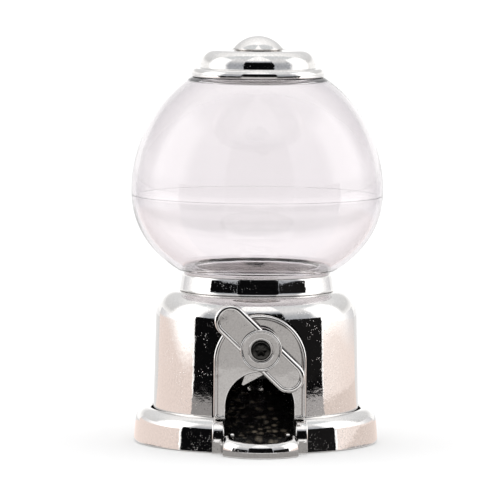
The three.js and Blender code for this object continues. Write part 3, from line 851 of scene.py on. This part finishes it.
def table_material():
    """A pale matt table. Only rays that have passed through the globe see the soft rings of painted shade on
    it.
    """
    s = Shader("pale_table")
    s.set(Roughness=1.0, Specular_IOR_Level=0.0)
    away = s.nodes.new("ShaderNodeVectorMath")
    away.operation = "LENGTH"
    s.join(s.place, away.inputs[0])
    swirl = 0.05
    drifted = s.math("MULTIPLY_ADD", s.noise(45, 2, 0.5), swirl, away.outputs["Value"])
    painted_shade = s.ramp(s.math("SUBTRACT", drifted, swirl / 2),
                   [(distance, (level, level * 0.98, level * 0.988)) for distance, level in PAINTED_SHADE_THROUGH_GLOBE])
    path = s.nodes.new("ShaderNodeLightPath")
    # Rays through the globe see the painted shade, all others the even table tone.
    s.feed(Base_Color=s.blend(path.outputs["Is Transmission Ray"], TABLE_TONE, painted_shade))
    return s.material


def make_floor():
    size = 6.0
    bm = bmesh.new()
    corners = ((-size, -size, 0), (size, -size, 0), (size, size, 0), (-size, size, 0))
    bm.faces.new([bm.verts.new(p) for p in corners])
    floor = add_object("table_top", mesh_from("table_top", bm))
    dress(floor, table_material())


def card_material():
    """Cards of painted reflection glow evenly in the shade stored on each of their corners."""
    material = bpy.data.materials.new("painted_reflection_card")
    material.use_nodes = True
    nodes, links = material.node_tree.nodes, material.node_tree.links
    nodes.remove(nodes["Principled BSDF"])
    shade = nodes.new("ShaderNodeVertexColor")
    shade.layer_name = "shade"
    glow = nodes.new("ShaderNodeEmission")
    links.new(shade.outputs["Color"], glow.inputs["Color"])
    links.new(glow.outputs[0], nodes["Material Output"].inputs["Surface"])
    return material


REFLECTION_CARD = card_material()
CARD_STEPS = 48


def between(values, t):
    """Reads a list of numbers or colours as evenly spaced stops."""
    if len(values) == 1:
        return values[0]
    spot = t * (len(values) - 1)
    i = min(int(spot), len(values) - 2)
    first, second, k = values[i], values[i + 1], spot - i
    if isinstance(first, tuple):
        return tuple(p + (q - p) * k for p, q in zip(first, second))
    return first + (second - first) * k


def shade_card(mesh, shades, fade):
    """Stores a shade on each corner, column by column. The top edge of a faded card has its own."""
    shade = mesh.color_attributes.new("shade", "FLOAT_COLOR", "POINT")
    count = 3 if fade else 2
    for i in range(CARD_STEPS + 1):
        colours = [between(shades, i / CARD_STEPS)] * 2
        if fade:
            colours.append(between(fade[1], i / CARD_STEPS))
        for k, colour in enumerate(colours):
            shade.data[count * i + k].color = (*colour, 1)


def make_card(name, start, end, inner, outer, shades, heights=None, fade=None):
    """A curved card of painted reflection, seen only in reflections, from inner to outer (radius, height).

    Its start and end are in degrees from the front. heights replaces the outer height along it, and
    fade, as (extra height, shades), adds a strip on top that runs to shades of its own.
    """
    bm = bmesh.new()
    rows = []
    for i in range(CARD_STEPS + 1):
        t = i / CARD_STEPS
        a = math.radians(start + (end - start) * t)
        top = between(heights, t) if heights else outer[1]
        column = [inner, (outer[0], top)] + ([(outer[0], top + fade[0])] if fade else [])
        rows.append([bm.verts.new((r * math.sin(a) * MM, -r * math.cos(a) * MM, z * MM)) for r, z in column])
    for first, second in zip(rows, rows[1:]):
        for k in range(len(first) - 1):
            bm.faces.new((first[k], second[k], second[k + 1], first[k + 1]))
    card = add_object(name, mesh_from(name, bm))
    dress(card, REFLECTION_CARD)
    shade_card(card.data, shades, fade)
    for seen_by in ("camera", "diffuse", "transmission", "shadow"):
        setattr(card, "visible_" + seen_by, False)


def make_cards():
    # Each card paints a reflection and lights nothing: the table's tones close to the foot and ahead, dark
    # flags, and warm and white boards at the sides.
    low = 0.3  # the cards that lie on the table are this high above it
    near, far, reach = (FOOT.radius + 0.9, low), (200.0, low), (420.0, low)
    close, bright, ahead = (58.0, low), (98.0, low), (205.0, low)
    flag, warm, white = (260.0, low), (170.0, low), (190.0, low)
    make_card("table_close", -AHEAD, AHEAD, near, close, [(0.42, 0.41, 0.40)])
    make_card("table_bright", -AHEAD, AHEAD, close, bright, [grey(1.3)])
    make_card("table_ahead", -AHEAD, AHEAD, bright, ahead, [TABLE_AHEAD])
    make_card("table_beyond", -AHEAD, AHEAD, ahead, reach, [(0.56, 0.545, 0.535)])
    make_card("dark_ahead", -AHEAD, AHEAD, reach, (reach[0], 300.0), [DARK])
    flanks = (("left", -AHEAD, FLANK_LEFT, (0.38, 0.366, 0.362), DARK),
              ("right", AHEAD, FLANK_RIGHT, (0.54, 0.52, 0.515), (0.012, 0.0115, 0.0115)))
    for side, start, end, table, shade in flanks:
        make_card("table_flank_" + side, start, end, near, far, [table])
        make_card("flag_foot_" + side, start, end, far, flag, [DARK])
        make_card("flag_" + side, start, end, flag, (flag[0], 82.0), [shade])
    fade = [(2.3, 2.28, 2.26), (2.3, 2.29, 2.28), grey(1.7), (1.1, 1.1, 1.12), (0.84, 0.84, 0.86)]
    sides = (("left", FLANK_LEFT, -SIDE, WARM_LEFT, [WARM_LEFT], [9, 8, 8, 9, 11, 13, 15, 17, 18, 19, 20]),
             ("right", FLANK_RIGHT, SIDE, WARM_TABLE, [WARM_RIGHT, WARM_LEFT],
              [15, 15, 16, 15, 14, 12, 10, 8, 7, 6, 5]))
    for side, start, end, table, shades, heights in sides:
        make_card("table_side_" + side, start, end, near, warm, [table])
        make_card("warm_card_" + side, start, end, warm, warm, shades, heights, (13, fade))
        make_card("white_card_" + side, start, end, white, (white[0], 56.0), fade)
    make_card("table_behind", SIDE, 360 - SIDE, near, reach, [TABLE_BEHIND])


# The sky that reflections see in four directions: (degrees above the horizon, colour).
SKY_CENTRE = (-90, DARK), (34, DARK), (41, BLUE), (52, WHITE), (90, WHITE)
SKY_FLANKS = ((-30, BLUE), (9, BLUE), (24, (0.58, 0.60, 0.63)), (34, (0.80, 0.81, 0.83)), (42, SOFT),
              (54, SOFT), (64, OVERHEAD), (90, OVERHEAD))
SKY_SIDES = (-90, grey(1.2)), (0, WHITE), (8, BRIGHT), (40, BRIGHT), (52, OVERHEAD), (90, OVERHEAD)
SKY_BEHIND = ((-90, TABLE_BEHIND), (-2, (0.87, 0.865, 0.86)), (1, (1.3, 1.3, 1.29)), (8, (1.3, 1.3, 1.29)),
              (16, grey(0.88)), (30, (0.95, 0.96, 0.97)), (45, grey(1.2)), (60, grey(1.35)),
              (76, WHITE), (90, WHITE))
ROOM_LIGHT = grey(1.22)  # what the camera and matt surfaces see
LIGHT_THROUGH_GLOBE = (1.013, 0.994, 1.0)
GLOBE_MIRROR = 0.25  # how much of the studio a ray sees that bounced and then passed through the globe


def make_world():
    """Even white light. Only reflections see a studio, a painted reflection that lights nothing: dark ahead,
    soft boxes at the sides and above.
    """
    world = bpy.data.worlds.new("studio")
    bpy.context.scene.world = world
    world.use_nodes = True
    w = Nodes(world.node_tree)
    split = w.nodes.new("ShaderNodeSeparateXYZ")
    w.join(w.nodes.new("ShaderNodeTexCoord").outputs["Generated"], split.inputs[0])
    x, y, z = split.outputs
    from_front = w.math("ABSOLUTE", w.math("ARCTAN2", x, w.math("MULTIPLY", y, -1.0)))
    around = w.math("MULTIPLY", from_front, 180 / math.pi)
    up = w.math("MULTIPLY", w.math("ARCSINE", z), 1 / (math.pi / 2))
    level = w.math("ADD", w.math("MULTIPLY", up, 0.5), 0.5)

    def sky(stops):
        return w.ramp(level, [(0.5 + degrees / 180, colour) for degrees, colour in stops])

    def past(edge, soft):
        return w.spread(around, edge - soft, edge + soft, interpolation="SMOOTHSTEP")

    studio = w.blend(past(AHEAD, 1.0), sky(SKY_CENTRE), sky(SKY_FLANKS))
    studio = w.blend(past(FLANK_RIGHT - 3, 9.0), studio, sky(SKY_SIDES))
    studio = w.blend(past(SIDE_BOX, 9.0), studio, sky(SKY_BEHIND))
    # Only reflections see the painted studio; the camera and matt surfaces see the even room light.
    path = w.nodes.new("ShaderNodeLightPath").outputs
    through = path["Is Transmission Ray"]
    bounced = w.math("GREATER_THAN", path["Glossy Depth"], 0.5)
    share = w.math("SUBTRACT", 1.0, w.math("MULTIPLY", through, 1 - GLOBE_MIRROR))
    mirrored = w.math("MULTIPLY", w.math("MULTIPLY", path["Is Glossy Ray"], bounced), share)
    plain = w.blend(through, ROOM_LIGHT, LIGHT_THROUGH_GLOBE)
    w.join(w.blend(mirrored, plain, studio), w.nodes["Background"].inputs["Color"])


make_floor()
make_cards()
make_world()


# ---- camera -------------------------------------------------------------------------------

CAMERA_AWAY = 1.3
CAMERA_RISE = 6.6  # degrees above the table, seen from the machine's axis at table height
CAMERA_SIDE = -2.0  # degrees round the machine, negative to the viewer's left
CAMERA_ROLL = 0.38  # degrees
VIEW_WIDTH = 0.1171  # width of the view at the machine's axis
AIM_SIDE, AIM_HEIGHT = -0.0016, 0.0448


def make_camera():
    data = bpy.data.cameras.new("camera")
    camera = add_object("camera", data)
    side = math.radians(CAMERA_SIDE)
    right = Vector((math.cos(side), math.sin(side), 0))
    target = right * AIM_SIDE + Vector((0, 0, AIM_HEIGHT))
    stand = Vector((math.sin(side), -math.cos(side), 0)) * CAMERA_AWAY
    rise = CAMERA_AWAY * math.tan(math.radians(CAMERA_RISE)) - AIM_HEIGHT
    camera.location = target + stand + Vector((0, 0, rise))
    toward = target - camera.location
    turn = toward.to_track_quat("-Z", "Y").to_matrix() @ Matrix.Rotation(math.radians(CAMERA_ROLL), 3, "Z")
    camera.rotation_euler = turn.to_euler()
    data.lens = data.sensor_width * toward.length / VIEW_WIDTH
    data.clip_start = 0.05
    bpy.context.scene.camera = camera


make_camera()

scene = bpy.context.scene
scene.view_settings.view_transform = "Standard"
scene.cycles.max_bounces = 24
scene.cycles.transmission_bounces = 20
scene.cycles.glossy_bounces = 10
scene.cycles.use_denoising = True
